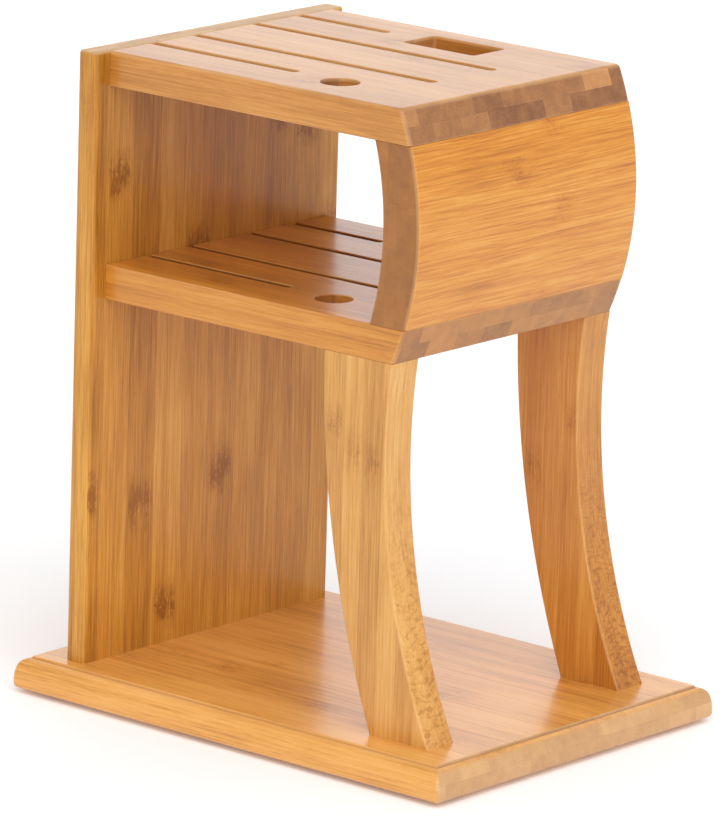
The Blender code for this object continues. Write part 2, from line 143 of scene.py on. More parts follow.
class Sheet:
    """A node tree being drawn up, for a finish or for a shape."""

    def __init__(self, tree):
        self.tree = tree

    def node(self, kind, settings=None, inputs=None, output=0):
        """Add a node: its settings first, then the values or links of its sockets."""
        made = self.tree.nodes.new(kind)
        for setting, value in (settings or {}).items():
            if setting == "stops":
                self.set_stops(made.color_ramp, value)
            else:
                setattr(made, setting, value)
        for socket, value in (inputs or {}).items():
            if isinstance(value, Number):
                self.tree.links.new(value.socket, made.inputs[socket])
            else:
                made.inputs[socket].default_value = value
        return Number(self, made.outputs[output]) if made.outputs else None

    def set_stops(self, ramp, stops):
        while len(ramp.elements) < len(stops):
            ramp.elements.new(1.0)
        for element, (position, colour) in zip(ramp.elements, stops):
            element.position = position
            element.color = (*colour, 1.0)

    def point(self, x, y, z):
        return self.node("ShaderNodeCombineXYZ", None, {0: x, 1: y, 2: z})

    def noise(self, place, detail=2.0, roughness=0.5):
        sockets = {"Vector": place, "Scale": 1.0, "Detail": detail, "Roughness": roughness}
        return self.node("ShaderNodeTexNoise", {"noise_dimensions": "3D"}, sockets)

    def blend(self, share, first, second):
        """Two colours mixed by a share."""
        settings = {"data_type": "RGBA", "blend_type": "MIX"}
        return self.node("ShaderNodeMix", settings, {0: share, 6: first, 7: second}, 2)


def bamboo(
    name,
    axes,
    stave,
    ply,
    start,
    seed,
    tones,
    end_tones,
    staves=0.4,
    blocks=0.7,
    marks=1.0,
    ripple=0.0,
    streaky=1.1,
    gloss=0.5,
):
    """Lacquered laminated bamboo.

    axes names the directions along the grain, across the staves and through the plies.  stave and ply are
    a stave's width and thickness, and start is where a ply begins.  Every stave has a tone, streaks, fine
    fibres and dashes of its own, and the scars that the joints of the cane leave.  staves and blocks say
    how far the staves' tones differ along the grain and on end grain, marks how strong the scars are,
    ripple the height that the curly figure of a sawn edge reaches, streaky how strong the fine streaks
    are, and gloss how full the lacquer is.
    """
    material = bpy.data.materials.new(name)
    material.use_nodes = True
    sheet = Sheet(material.node_tree)
    place = sheet.node("ShaderNodeTexCoord", None, None, "Object")
    spot = sheet.node("ShaderNodeSeparateXYZ", None, {0: place}, axes[0])
    along, across, through = spot, spot.beside(axes[1]), spot.beside(axes[2])

    facing = sheet.node("ShaderNodeTexCoord", None, None, "Normal")
    end_on = abs(sheet.node("ShaderNodeSeparateXYZ", None, {0: facing}, axes[0])).rise(0.35, 0.8)
    edge_on = abs(sheet.node("ShaderNodeSeparateXYZ", None, {0: facing}, axes[1])) > 0.7
    ply_row = (through - start) / ply
    ply_number = math.floor(ply_row)
    stave_row = across / stave + ply_number * 0.41 + seed
    stave_number = math.floor(stave_row)
    key = sheet.point(stave_number * (1.0 - edge_on), ply_number, seed)
    lot = sheet.node("ShaderNodeTexWhiteNoise", {"noise_dimensions": "3D"}, {"Vector": key}, "Color")
    tone = sheet.node("ShaderNodeSeparateColor", None, {0: lot}, 0)
    scar_place, shade = tone.beside(1), tone.beside(2)

    drift = sheet.noise(sheet.point(across * 30 + seed, through * 30, along * 9), 1.0)
    grain_across = across + (drift - 0.5) * GRAIN_WANDER
    broad = sheet.noise(sheet.point(grain_across * 150, through * 150, along * 4 + scar_place * 40), 2.0)
    streaked = sheet.point(grain_across * 950, through * 950, along * 22 + scar_place * 90)
    streaks = sheet.noise(streaked, 3.0, 0.7)
    patches = sheet.noise(sheet.point(across * 34 + seed, through * 34, along * 14), 2.0)
    fibres = sheet.noise(sheet.point(grain_across * 3200, through * 3200, along * 60 + seed), 2.0, 0.6)
    dashed = sheet.point(grain_across * 2100, through * 2100, along * 170 + seed)
    dashes = sheet.noise(dashed, 1.0).rise(0.66, 0.74)

    in_stave = abs(stave_row - stave_number - 0.5) * (1.0 - edge_on)
    in_ply = abs(ply_row - ply_number - 0.5)
    glue = in_stave.rise(0.5 - STAVE_GLUE / stave, 0.5) + in_ply.rise(0.5 - PLY_GLUE / ply, 0.5)

    speckle = sheet.noise(sheet.point(across * 700, through * 700, along * 330), 3.0, 0.7)
    smudge = sheet.noise(sheet.point(across * 110, through * 110, along * 60 + seed), 3.0, 0.6)
    travelled = along + (scar_place + seed) * CANE_JOINT_SPACING + (smudge - 0.5) * SCAR_WANDER
    from_scar = abs(travelled.maths("WRAP", travelled, CANE_JOINT_SPACING / 2, -CANE_JOINT_SPACING / 2))
    scarred = smudge.rise(0.3, 0.6) * in_stave.fall(0.25, 0.5) * (1.0 - edge_on * 0.8) * marks
    scar_stain = from_scar.fall(0.0, SCAR_SPREAD) * speckle.rise(0.2, 0.8) * scarred * 1.3
    scar_line = from_scar.fall(*SCAR_LINE) * speckle.rise(0.35, 0.6) * scarred

    bundles = sheet.noise(sheet.point(across * 1500, through * 1500, along * 30), 2.0, 0.7)
    rippled = 0.0
    if ripple:
        curl = sheet.noise(sheet.point(across * 60, through * 60, along * 25 + seed), 1.0)
        ripples = sheet.noise(sheet.point(through * 230, seed, along * 620 + curl * 7), 1.0)
        rippled = ripples.rise(0.45, 0.72) * along.fall(ripple * 0.3, ripple) * edge_on

    value = 0.5 + (tone - 0.5) * staves + (broad - 0.5) * 0.5 + (patches - 0.5) * 0.5
    value = value + (streaks - 0.5) * streaky + (fibres - 0.5) * 0.5
    value = value - dashes * 0.12 - scar_stain * 0.6 - scar_line * 0.35 - glue * 0.06 - rippled * 0.35
    dark, middle, light = tones
    stops = [(0.0, dark), (0.5, middle), (1.0, light)]
    side_colour = sheet.node("ShaderNodeValToRGB", {"stops": stops}, {0: value})
    end_value = 0.5 + (shade - 0.5) * blocks + (bundles - 0.5) * 0.6 + (smudge - 0.5) * 0.8 - glue * 0.1
    end_stops = [(0.0, end_tones[0]), (1.0, end_tones[1])]
    end_colour = sheet.node("ShaderNodeValToRGB", {"stops": end_stops}, {0: end_value})
    colour = sheet.blend(end_on, side_colour, end_colour)
    arris = sheet.node("ShaderNodeAttribute", {"attribute_name": "arris"}, None, "Fac")
    soiling = sheet.node("ShaderNodeAttribute", {"attribute_name": "soiling"}, None, "Fac")
    # The eased arrises are painted lighter in patches: partly rubbed finish, partly painted highlight.
    colour = sheet.blend(arris * (patches * 0.4), colour, RUBBED_AND_HIGHLIGHT_TONE)
    # Painted shade: this attribute darkens the wood in the moulding's crease and on the walls of the blade
    # slots and holes.
    colour = sheet.blend(soiling, colour, PAINTED_SHADE_TONE)

    rough = 0.33 + fibres * 0.08 + scar_stain * 0.12 + end_on * 0.10 + soiling * 0.2 + arris * 0.06
    relief = fibres * 0.25 + streaks * 0.35 - dashes * 0.4 + scar_stain * 0.5 - glue * 0.5 - rippled * 0.5
    bump = {"Strength": 0.35, "Distance": BUMP_HEIGHT, "Height": relief}
    bumped = sheet.node("ShaderNodeBump", None, bump)

    surface = material.node_tree.nodes["Principled BSDF"]
    links = {"Base Color": colour, "Roughness": rough, "Normal": bumped}
    for socket, number in links.items():
        material.node_tree.links.new(number.socket, surface.inputs[socket])
    surface.inputs["Coat Weight"].default_value = gloss
    surface.inputs["Coat Roughness"].default_value = 0.2
    surface.inputs["Specular IOR Level"].default_value = 0.35
    return material


def mark_arrises(shape):
    """Mark the eased arrises, which are painted lighter: rubbed-thin finish and painted highlight."""
    arris = shape.verts.layers.float.new("arris")
    shape.normal_update()
    for vertex in shape.verts:
        widths = [face.calc_area() / max(e.calc_length() for e in face.edges) for face in vertex.link_faces]
        on_flat = any(abs(face.normal.z) > LEVEL for face in vertex.link_faces)
        vertex[arris] = 1.0 if max(widths) < ARRIS_STRIP and not on_flat else 0.0


def rounded_rectangle(low, high, inset, corner):
    """Points round a rectangle with rounded corners, anticlockwise from above."""
    radius = max(corner - inset, SMALLEST_CORNER)
    right, back = high.x - inset - radius, high.y - inset - radius
    left, front = low.x + inset + radius, low.y + inset + radius
    centres = [(right, back), (left, back), (left, front), (right, front)]
    points = []
    for turn, (x, y) in enumerate(centres):
        for step in range(ROUND_STEPS + 1):
            angle = math.pi / 2 * (turn + step / ROUND_STEPS)
            points.append((x + radius * math.cos(angle), y + radius * math.sin(angle)))
    return points


def stacked_slab(name, box, stages, corner):
    """A closed slab through stages of (inset, height above the bottom, how much painted shade darkens the
    wood).
    """
    low, high = box
    shape = bmesh.new()
    soiling = shape.verts.layers.float.new("soiling")
    rings = []
    for inset, height, painted_shade_share in stages:
        outline = rounded_rectangle(low, high, inset, corner)
        ring = [shape.verts.new((x, y, low.z + height)) for x, y in outline]
        for vertex in ring:
            vertex[soiling] = painted_shade_share
        rings.append(ring)
    shape.faces.new(list(reversed(rings[0])))
    for lower, upper in zip(rings, rings[1:]):
        for i in range(len(lower)):
            j = (i + 1) % len(lower)
            shape.faces.new((lower[i], lower[j], upper[j], upper[i]))
    shape.faces.new(rings[-1])
    mark_arrises(shape)
    mesh = bpy.data.meshes.new(name)
    shape.to_mesh(mesh)
    shape.free()
    return mesh


def quarter(reach, inset, height, start, end, steps, drop=None):
    """Stages along a quarter round: its angle goes from start to end, in quarter turns.

    A drop makes the round deeper than its reach.
    """
    stages = []
    for step in range(steps + 1):
        angle = math.pi / 2 * (start + (end - start) * step / steps)
        stages.append((inset - reach * math.sin(angle), height - (drop or reach) * math.cos(angle), 0.0))
    return stages


def show(name, mesh, material, slot, *nodes):
    """Put a finished piece in the scene in place of its CAD nodes."""
    piece = bpy.data.objects.new(name, mesh)
    bpy.context.scene.collection.objects.link(piece)
    mesh.materials.clear()
    mesh.materials.append(material)
    mesh.shade_smooth()
    mesh.set_sharp_from_angle(angle=SHARP_ANGLE)
    weighted = piece.modifiers.new("Flat faces stay flat", "WEIGHTED_NORMAL")
    weighted.keep_sharp = True
    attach(piece, "root")
    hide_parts(*nodes)
    return piece


base_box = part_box("base_board")
base_height = base_box[1].z - base_box[0].z
moulding_foot = base_height - MOULDING_STEP
round_centre = moulding_foot - MOULDING_DROP
step_inset = MOULDING_REACH + MOULDING_LEDGE
base_stages = quarter(UNDERSIDE_EASING, UNDERSIDE_EASING, UNDERSIDE_EASING, 0, 1, ROUND_STEPS)
base_stages += quarter(MOULDING_REACH, MOULDING_REACH, round_centre, 1, 2, MOULDING_STEPS, MOULDING_DROP)
# These last values paint shade into the crease of the small groove under the step.
base_stages += [
    (step_inset, moulding_foot - MOULDING_GROOVE, 0.4),
    (step_inset + MOULDING_GROOVE / 2, moulding_foot, 0.3),
    (step_inset + MOULDING_GROOVE, base_height - STEP_EASING, 0.1),
    (step_inset + MOULDING_GROOVE + STEP_EASING, base_height, 0.0),
]
base_bamboo = bamboo(
    "base bamboo",
    axes="YXZ",
    stave=0.021,
    ply=0.008,
    start=base_box[0].z,
    seed=3.7,
    tones=[(0.44, 0.16, 0.018), (0.82, 0.38, 0.08), (0.92, 0.52, 0.16)],
    end_tones=[(0.50, 0.25, 0.10), (0.80, 0.47, 0.21)],
    staves=0.2,
    blocks=0.4,
    marks=0.4,
)
base_mesh = stacked_slab("base_board_finished", base_box, base_stages, BASE_CORNER)
show("base_board_finished", base_mesh, base_bamboo, "bamboo_base", "base_board")


# Foot pads.  Four moulded rubber discs with a rolled rim, stuck under the corners of the base board.  One
# turned disc is drawn by rule and set down at each place.

PAD_ROWS = 10
PAD_SEGMENTS = 40
PAD_RIM_ROLL = 0.06
PAD_RIM_SHARPNESS = 6.0


def shape_tree(name, sizes):
    """A geometry tree with named inputs: its sheet and a number for each input."""
    tree = bpy.data.node_groups.new(name, "GeometryNodeTree")
    tree.interface.new_socket(name="Geometry", in_out="INPUT", socket_type="NodeSocketGeometry")
    for size in sizes:
        kind = "NodeSocketMaterial" if size == "Material" else "NodeSocketFloat"
        tree.interface.new_socket(name=size, in_out="INPUT", socket_type=kind)
    tree.interface.new_socket(name="Geometry", in_out="OUTPUT", socket_type="NodeSocketGeometry")
    sheet = Sheet(tree)
    entry = sheet.node("NodeGroupInput")
    return sheet, {name: entry.beside(name) for name in ["Geometry", *sizes]}


def shape_from(tree, start, sizes):
    """The plain mesh that a geometry tree makes from a start mesh and these sizes."""
    holder = bpy.data.objects.new(tree.name, start)
    bpy.context.scene.collection.objects.link(holder)
    builder = holder.modifiers.new("Builder", "NODES")
    builder.node_group = tree
    for item in tree.interface.items_tree:
        if item.in_out == "INPUT" and item.name in sizes:
            builder[item.identifier] = sizes[item.name]
    depsgraph = bpy.context.evaluated_depsgraph_get()
    mesh = bpy.data.meshes.new_from_object(holder.evaluated_get(depsgraph), depsgraph=depsgraph)
    holder.modifiers.remove(builder)
    bpy.data.objects.remove(holder)
    return mesh


def end_tree(sheet, geometry, material):
    """Close a geometry tree with Realize Instances and Set Material."""
    real = sheet.node("GeometryNodeRealizeInstances", None, {0: geometry})
    painted = sheet.node("GeometryNodeSetMaterial", None, {"Geometry": real, "Material": material})
    sheet.node("NodeGroupOutput", None, {0: painted})


def plain_material(name, colours, roughness, metallic, grain, depth):
    """A material with a fine mottle in its colour, its roughness and its relief."""
    material = bpy.data.materials.new(name)
    material.use_nodes = True
    sheet = Sheet(material.node_tree)
    place = sheet.node("ShaderNodeTexCoord", None, None, "Object")
    spot = sheet.node("ShaderNodeSeparateXYZ", None, {0: place}, "X")
    x, y, z = [axis * grain for axis in (spot, spot.beside("Y"), spot.beside("Z"))]
    mottle = sheet.noise(sheet.point(x, y, z), 3.0, 0.6)
    stops = [(0.3, colours[0]), (0.7, colours[1])]
    colour = sheet.node("ShaderNodeValToRGB", {"stops": stops}, {0: mottle})
    bumped = sheet.node("ShaderNodeBump", None, {"Strength": 0.3, "Distance": depth, "Height": mottle})
    surface = material.node_tree.nodes["Principled BSDF"]
    links = {"Base Color": colour, "Roughness": roughness + (mottle - 0.5) * 0.25, "Normal": bumped}
    for socket, number in links.items():
        material.node_tree.links.new(number.socket, surface.inputs[socket])
    surface.inputs["Metallic"].default_value = metallic
    return material


def points_mesh(name, places, outward):
    """Loose points, each with the direction that its fitting faces."""
    mesh = bpy.data.meshes.new(name)
    mesh.from_pydata(places, [], [])
    facing = mesh.attributes.new("outward", "FLOAT_VECTOR", "POINT")
    for row, direction in zip(facing.data, outward):
        row.vector = direction
    return mesh


pad_nodes = [n for n in frame["nodes"] if n.startswith("foot_pad")]
pad_boxes = [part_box(n) for n in pad_nodes]
pad_places = [Vector(((low.x + high.x) / 2, (low.y + high.y) / 2, low.z)) for low, high in pad_boxes]
pad_sheet, pad_size = shape_tree("Foot pads", ["Radius", "Height", "Material"])
disc = pad_sheet.node(
    "GeometryNodeMeshCylinder",
    {"fill_type": "NGON"},
    {"Vertices": PAD_SEGMENTS, "Side Segments": PAD_ROWS, "Radius": 1.0, "Depth": 1.0},
)
at = pad_sheet.node("GeometryNodeInputPosition")
disc_x = pad_sheet.node("ShaderNodeSeparateXYZ", None, {0: at}, "X")
disc_y, disc_z = disc_x.beside("Y"), disc_x.beside("Z")
rim = pad_size["Radius"] * (1.0 - PAD_RIM_ROLL * abs(disc_z * 2.0) ** PAD_RIM_SHARPNESS)
rolled = pad_sheet.point(disc_x * rim, disc_y * rim, (disc_z + 0.5) * pad_size["Height"])
pad = pad_sheet.node("GeometryNodeSetPosition", None, {"Geometry": disc, "Position": rolled})
pad_sockets = {"Points": pad_size["Geometry"], "Instance": pad}
pads = pad_sheet.node("GeometryNodeInstanceOnPoints", None, pad_sockets)
end_tree(pad_sheet, pads, pad_size["Material"])
rubber_tones = [(0.012, 0.012, 0.012), (0.03, 0.03, 0.03)]
pad_rubber = plain_material(
    "pad rubber", rubber_tones, roughness=0.75, metallic=0.0, grain=1800, depth=0.0002
)
pad_across, _, pad_height = pad_boxes[0][1] - pad_boxes[0][0]
pad_sizes = {"Radius": pad_across / 2, "Height": pad_height, "Material": pad_rubber}
pad_points = points_mesh("pad_places", pad_places, [(0, 0, -1)] * len(pad_places))
pad_mesh = shape_from(pad_sheet.tree, pad_points, pad_sizes)
show("foot_pads", pad_mesh, pad_rubber, "pad_rubber", *pad_nodes)


# Back panel.  An upright board of wide staves side by side, three plies thick, with its long edges well
# rounded.  It stands on the base board, screwed from below, and the decks butt against its front face.

PANEL_EDGE_RADIUS = 0.0030
PANEL_TOP_EASING = 0.0014
PANEL_TOP_STEPS = 5
PANEL_PLIES = 3

panel_low, panel_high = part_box("back_panel")
panel_box = (Vector((panel_low.x, panel_low.y, base_box[1].z)), panel_high)
panel_height = panel_box[1].z - panel_box[0].z
panel_stages = [(0.0, 0.0, 0.0)]
easing_height = panel_height - PANEL_TOP_EASING
panel_stages += quarter(PANEL_TOP_EASING, PANEL_TOP_EASING, easing_height, 1, 2, PANEL_TOP_STEPS)
panel_bamboo = bamboo(
    "panel bamboo",
    axes="ZXY",
    stave=0.0195,
    ply=(panel_box[1].y - panel_box[0].y) / PANEL_PLIES,
    start=panel_box[0].y,
    seed=8.2,
    tones=[(0.34, 0.12, 0.008), (0.63, 0.275, 0.034), (0.84, 0.47, 0.10)],
    end_tones=[(0.50, 0.25, 0.08), (0.70, 0.42, 0.18)],
    marks=1.5,
    staves=0.3,
    gloss=0.2,
    streaky=1.25,
)
panel_mesh = stacked_slab("back_panel_finished", panel_box, panel_stages, PANEL_EDGE_RADIUS)
show("back_panel_finished", panel_mesh, panel_bamboo, "bamboo_panel", "back_panel")


# Decks.  Two boards of 20 mm staves running front to back, two plies thick.  Straight slots for blades are
# sawn in from the back, a round hole takes the steel and a square one the scissors, and the arrises are
# rubbed down.  Their front edges follow the same arc as the bowed panel.

SLOT_WIDTH = 0.0046
BOW_RADIUS = 0.146
DECK_EASING = 0.0018
UPPER_DECK_LOWER_EASING = 0.0007
LOWER_DECK_EASINGS = (0.0004, 0.0007)
DECK_CORNER = 0.0022
# How dark the walls of the blade slots and the holes are painted: painted shade deep inside the openings.
OPENING_PAINTED_SHADES = {"slot": 0.75, "hole": 0.2}
SLOT_EASING = 0.0005
SLOT_TIP_ALLOWANCE = 0.00173
STEEL_HOLE_RADIUS = 0.00925
SCISSORS_HOLE = (0.024, 0.044)
SCISSORS_CORNER = 0.0015
DECK_LEVELS = 3
EASING_STEPS = 4
CORNER_STEPS = 4
SLOT_TIP_STEPS = 12
STEEL_HOLE_STEPS = 48
NEARLY_STRAIGHT = 0.2
DECK_STAVE = 0.0203
DECK_PLY = 0.0085

upper_box, lower_box, bow_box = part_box("upper_deck"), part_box("lower_deck"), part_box("bowed_front_panel")
bow_crown_y = bow_box[0].y
bow_middle_z = (bow_box[0].z + bow_box[1].z) / 2
openings = {opening["name"]: opening["box_m"] for opening in frame["record"]["physics"]["openings"]}


def bow_front_y(z):
    """Y of the bowed front at a height, on the decks' front edges too."""
    return bow_crown_y + BOW_RADIUS - math.sqrt(BOW_RADIUS**2 - (z - bow_middle_z) ** 2)


def arc_points(centre, radius, start, end, steps):
    """Points along an arc from one angle in degrees to another."""
    turns = [math.radians(start + (end - start) * i / steps) for i in range(steps + 1)]
    return [(centre[0] + radius * math.cos(a), centre[1] + radius * math.sin(a)) for a in turns]


def deck_loops(box, deck, front_y):
    """The deck's outline, then its holes, as rows of (x, y, kind of the edge that starts there).

    The wood is always on the left.
    """
    left, right, back = box[0].x, box[1].x, box[1].y
    turns = arc_points((left + DECK_CORNER, front_y + DECK_CORNER), DECK_CORNER, 180, 270, CORNER_STEPS)
    outline = [(x, y, "side") for x, y in turns[:-1]] + [(*turns[-1], "front")]
    turns = arc_points((right - DECK_CORNER, front_y + DECK_CORNER), DECK_CORNER, 270, 360, CORNER_STEPS)
    outline += [(x, y, "side") for x, y in turns] + [(right, back, "back")]
    half = SLOT_WIDTH / 2
    slots = [name for name in openings if name.startswith(deck) and name.endswith("slot")]
    for low, high in sorted((openings[name] for name in slots), reverse=True):
        middle = (low[0] + high[0]) / 2
        centre = (middle, low[1] - SLOT_TIP_ALLOWANCE + half)
        outline.append((middle + half, back, "slot"))
        outline += [(x, y, "slot") for x, y in arc_points(centre, half, 0, -180, SLOT_TIP_STEPS)]
        outline.append((middle - half, back, "back"))
    outline.append((left, back, "side"))

    low, high = openings[f"{deck}_steel_hole"]
    centre = ((low[0] + high[0]) / 2, (low[1] + high[1]) / 2)
    turns = arc_points(centre, STEEL_HOLE_RADIUS, 360, 0, STEEL_HOLE_STEPS)
    steel_hole = [(x, y, "hole") for x, y in turns[:-1]]

    low, high = openings[f"{deck}_scissors_hole"]
    reach_x, reach_y = SCISSORS_HOLE[0] / 2 - SCISSORS_CORNER, SCISSORS_HOLE[1] / 2 - SCISSORS_CORNER
    middle = ((low[0] + high[0]) / 2, (low[1] + high[1]) / 2)
    scissors_hole = []
    for turn, (side_x, side_y) in enumerate([(1, 1), (1, -1), (-1, -1), (-1, 1)]):
        centre = (middle[0] + side_x * reach_x, middle[1] + side_y * reach_y)
        turns = arc_points(centre, SCISSORS_CORNER, 90 - 90 * turn, -90 * turn, CORNER_STEPS)
        scissors_hole += [(x, y, "hole") for x, y in turns]
    return [outline, steel_hole, scissors_hole]


def drawn_in(loop, insets):
    """The loop's points, each edge moved into the wood by its kind's inset."""
    moved = []
    for i, (x, y, kind) in enumerate(loop):
        before, after = loop[i - 1], loop[(i + 1) % len(loop)]
        first = Vector((before[1] - y, x - before[0])).normalized()
        second = Vector((y - after[1], after[0] - x)).normalized()
        near, far = insets[before[2]], insets[kind]
        turn = first.cross(second)
        if abs(turn) < NEARLY_STRAIGHT:
            step = (first + second).normalized() * (near + far) / 2
        else:
            step = Vector((near * second.y - far * first.y, far * first.x - near * second.x)) / turn
        moved.append((x + step.x, y + step.y))
    return moved


def deck_mesh(name, deck, box, easing_below, easing_above, open_front):
    """A closed deck: its loops drawn in at both faces and following the bow at the front.

    open_front says which face's front arris is eased; the other one runs into the bowed panel.
    """
    low, high = box
    stages = quarter(easing_below, easing_below, low.z + easing_below, 0, 1, EASING_STEPS)
    for level in range(1, DECK_LEVELS):
        stages.append((0.0, low.z + (high.z - low.z) * level / DECK_LEVELS, 0.0))
    stages += quarter(easing_above, easing_above, high.z - easing_above, 1, 2, EASING_STEPS)
    shape = bmesh.new()
    soiling = shape.verts.layers.float.new("soiling")
    rings = []
    for number, (inset, z, _) in enumerate(stages):
        upper_half = number >= len(stages) / 2
        eased = inset * SLOT_EASING / DECK_EASING
        insets = {"side": inset, "slot": eased, "hole": eased, "back": 0.0}
        insets["front"] = inset if open_front == ("above" if upper_half else "below") else 0.0
        loops = deck_loops(box, deck, bow_front_y(z))
        ring = [[shape.verts.new((x, y, z)) for x, y in drawn_in(loop, insets)] for loop in loops]
        for loop, vertices in zip(loops, ring):
            for (_, _, kind), vertex in zip(loop, vertices):
                # Painted shade on the unrounded walls of the slots and holes.
                vertex[soiling] = OPENING_PAINTED_SHADES.get(kind, 0.0) if inset == 0 else 0.0
        rings.append(ring)
    for lower, upper in zip(rings, rings[1:]):
        for below, above in zip(lower, upper):
            for i in range(len(below)):
                j = (i + 1) % len(below)
                shape.faces.new((below[i], below[j], above[j], above[i]))
    for face_rings in (rings[0], rings[-1]):
        rim = [shape.edges.get((ring[i - 1], ring[i])) for ring in face_rings for i in range(len(ring))]
        bmesh.ops.triangle_fill(shape, use_beauty=True, use_dissolve=False, edges=rim)
    bmesh.ops.recalc_face_normals(shape, faces=shape.faces)
    mark_arrises(shape)
    mesh = bpy.data.meshes.new(name)
    shape.to_mesh(mesh)
    shape.free()
    return mesh


upper_bamboo = bamboo(
    "upper deck bamboo",
    axes="YXZ",
    stave=DECK_STAVE,
    ply=DECK_PLY,
    start=upper_box[0].z,
    seed=14.1,
    tones=[(0.36, 0.12, 0.012), (0.62, 0.25, 0.040), (0.78, 0.40, 0.10)],
    end_tones=[(0.22, 0.075, 0.022), (0.62, 0.28, 0.09)],
    staves=0.3,
    blocks=0.7,
    marks=0.45,
)
lower_bamboo = bamboo(
    "lower deck bamboo",
    axes="YXZ",
    stave=DECK_STAVE,
    ply=DECK_PLY,
    start=lower_box[0].z,
    seed=1.9,
    tones=[(0.36, 0.12, 0.010), (0.64, 0.24, 0.026), (0.80, 0.39, 0.07)],
    end_tones=[(0.26, 0.09, 0.015), (0.66, 0.28, 0.055)],
    staves=0.3,
    blocks=0.45,
    marks=0.5,
)
upper_easings = (UPPER_DECK_LOWER_EASING, DECK_EASING)
upper_mesh = deck_mesh("upper_deck_finished", "upper_deck", upper_box, *upper_easings, "above")
show("upper_deck_finished", upper_mesh, upper_bamboo, "bamboo_upper_deck", "upper_deck")
lower_mesh = deck_mesh("lower_deck_finished", "lower_deck", lower_box, *LOWER_DECK_EASINGS, "below")
show("lower_deck_finished", lower_mesh, lower_bamboo, "bamboo_lower_deck", "lower_deck")


# Bowed front panel.  One board sawn to an arc on both faces, with the grain running across it, doweled
# between the decks so that its front runs into theirs.

BOW_INNER_RADIUS = 0.150
BOW_THICKNESS_AT_CROWN = 0.0223
BOW_ARRIS = 0.0016
ARRIS_FACETS = 4
CURVED_ROWS = 56
LONG_EDGE_RISE = 0.0005
LONG_EDGE_ANGLE = math.radians(60)

board_sheet, board = shape_tree(
    "Curved board",
    ["Left", "Right", "Bottom", "Top", "Front Apex", "Front Height", "Front Radius"]
    + ["Back Apex", "Back Height", "Back Radius", "Material"],
)
block_rows = {"Vertices X": 2, "Vertices Y": 2, "Vertices Z": CURVED_ROWS}
block = board_sheet.node("GeometryNodeMeshCube", None, block_rows)
block_at = board_sheet.node("GeometryNodeInputPosition")
block_x = board_sheet.node("ShaderNodeSeparateXYZ", None, {0: block_at}, "X")
block_y, block_z = block_x.beside("Y"), block_x.beside("Z")
board_z = board["Bottom"] + (block_z + 0.5) * (board["Top"] - board["Bottom"])


def arc_face(face):
    """Y of a curved face at this height; a negative radius makes it hollow."""
    radius, rise = board[f"{face} Radius"], board_z - board[f"{face} Height"]
    return board[f"{face} Apex"] + radius - (radius * radius - rise * rise).root() * radius / abs(radius)


front_face, back_face = arc_face("Front"), arc_face("Back")
board_y = front_face + (block_y + 0.5) * (back_face - front_face)
board_x = board["Left"] + (block_x + 0.5) * (board["Right"] - board["Left"])
board_at = board_sheet.point(board_x, board_y, board_z)
shaped = board_sheet.node("GeometryNodeSetPosition", None, {"Geometry": block, "Position": board_at})
end_tree(board_sheet, shaped, board["Material"])


def curved_board(name, sizes, arris):
    """A board between two arcs, with its long edges rounded."""
    mesh = shape_from(board_sheet.tree, bpy.data.meshes.new(name), sizes)
    mesh.name = name
    shape = bmesh.new()
    shape.from_mesh(mesh)
    for vertex in shape.verts:
        vertex.co.z = min(max(vertex.co.z, sizes["Bottom"]), sizes["Top"])
    long_edges = []
    for edge in shape.edges:
        rise = abs(edge.verts[0].co.z - edge.verts[1].co.z)
        if rise > LONG_EDGE_RISE and edge.calc_face_angle(0.0) > LONG_EDGE_ANGLE:
            long_edges.append(edge)
    rounding = {"offset": arris, "segments": ARRIS_FACETS, "profile": 0.5, "affect": "EDGES"}
    bmesh.ops.bevel(shape, geom=long_edges, **rounding)
    bmesh.ops.recalc_face_normals(shape, faces=shape.faces)
    mark_arrises(shape)
    shape.to_mesh(mesh)
    shape.free()
    return mesh


bow_bamboo = bamboo(
    "bow bamboo",
    axes="XZY",
    stave=0.0215,
    ply=0.0066,
    start=bow_crown_y,
    seed=6.4,
    tones=[(0.42, 0.11, 0.004), (0.72, 0.27, 0.020), (0.86, 0.45, 0.09)],
    end_tones=[(0.24, 0.08, 0.010), (0.48, 0.18, 0.025)],
    staves=0.12,
    blocks=0.3,
    marks=0.4,
    streaky=1.5,
)
bow_sizes = {
    "Left": bow_box[0].x,
    "Right": bow_box[1].x,
    "Bottom": lower_box[1].z,
    "Top": upper_box[0].z,
    "Front Apex": bow_crown_y,
    "Front Height": bow_middle_z,
    "Front Radius": BOW_RADIUS,
    "Back Apex": bow_crown_y + BOW_THICKNESS_AT_CROWN,
    "Back Height": bow_middle_z,
    "Back Radius": BOW_INNER_RADIUS,
    "Material": bow_bamboo,
}
bow_mesh = curved_board("bowed_front_panel_finished", bow_sizes, BOW_ARRIS)
show("bowed_front_panel_finished", bow_mesh, bow_bamboo, "bamboo_bow", "bowed_front_panel")


# Legs.  A pair of short curved boards, plies glued side by side with the grain upright.  They are
# hollowed in front and behind, so that they flare towards the toe, and are doweled under the lower deck.

LEG_FRONT_RADIUS = 0.318
LEG_BACK_RADIUS = 0.485
LEG_WAIST_Z = 0.1565
LEG_TOP_DEPTH = 0.0422
LEG_ARRIS = 0.0012
LEG_PLIES_FROM_MIDDLE = 6

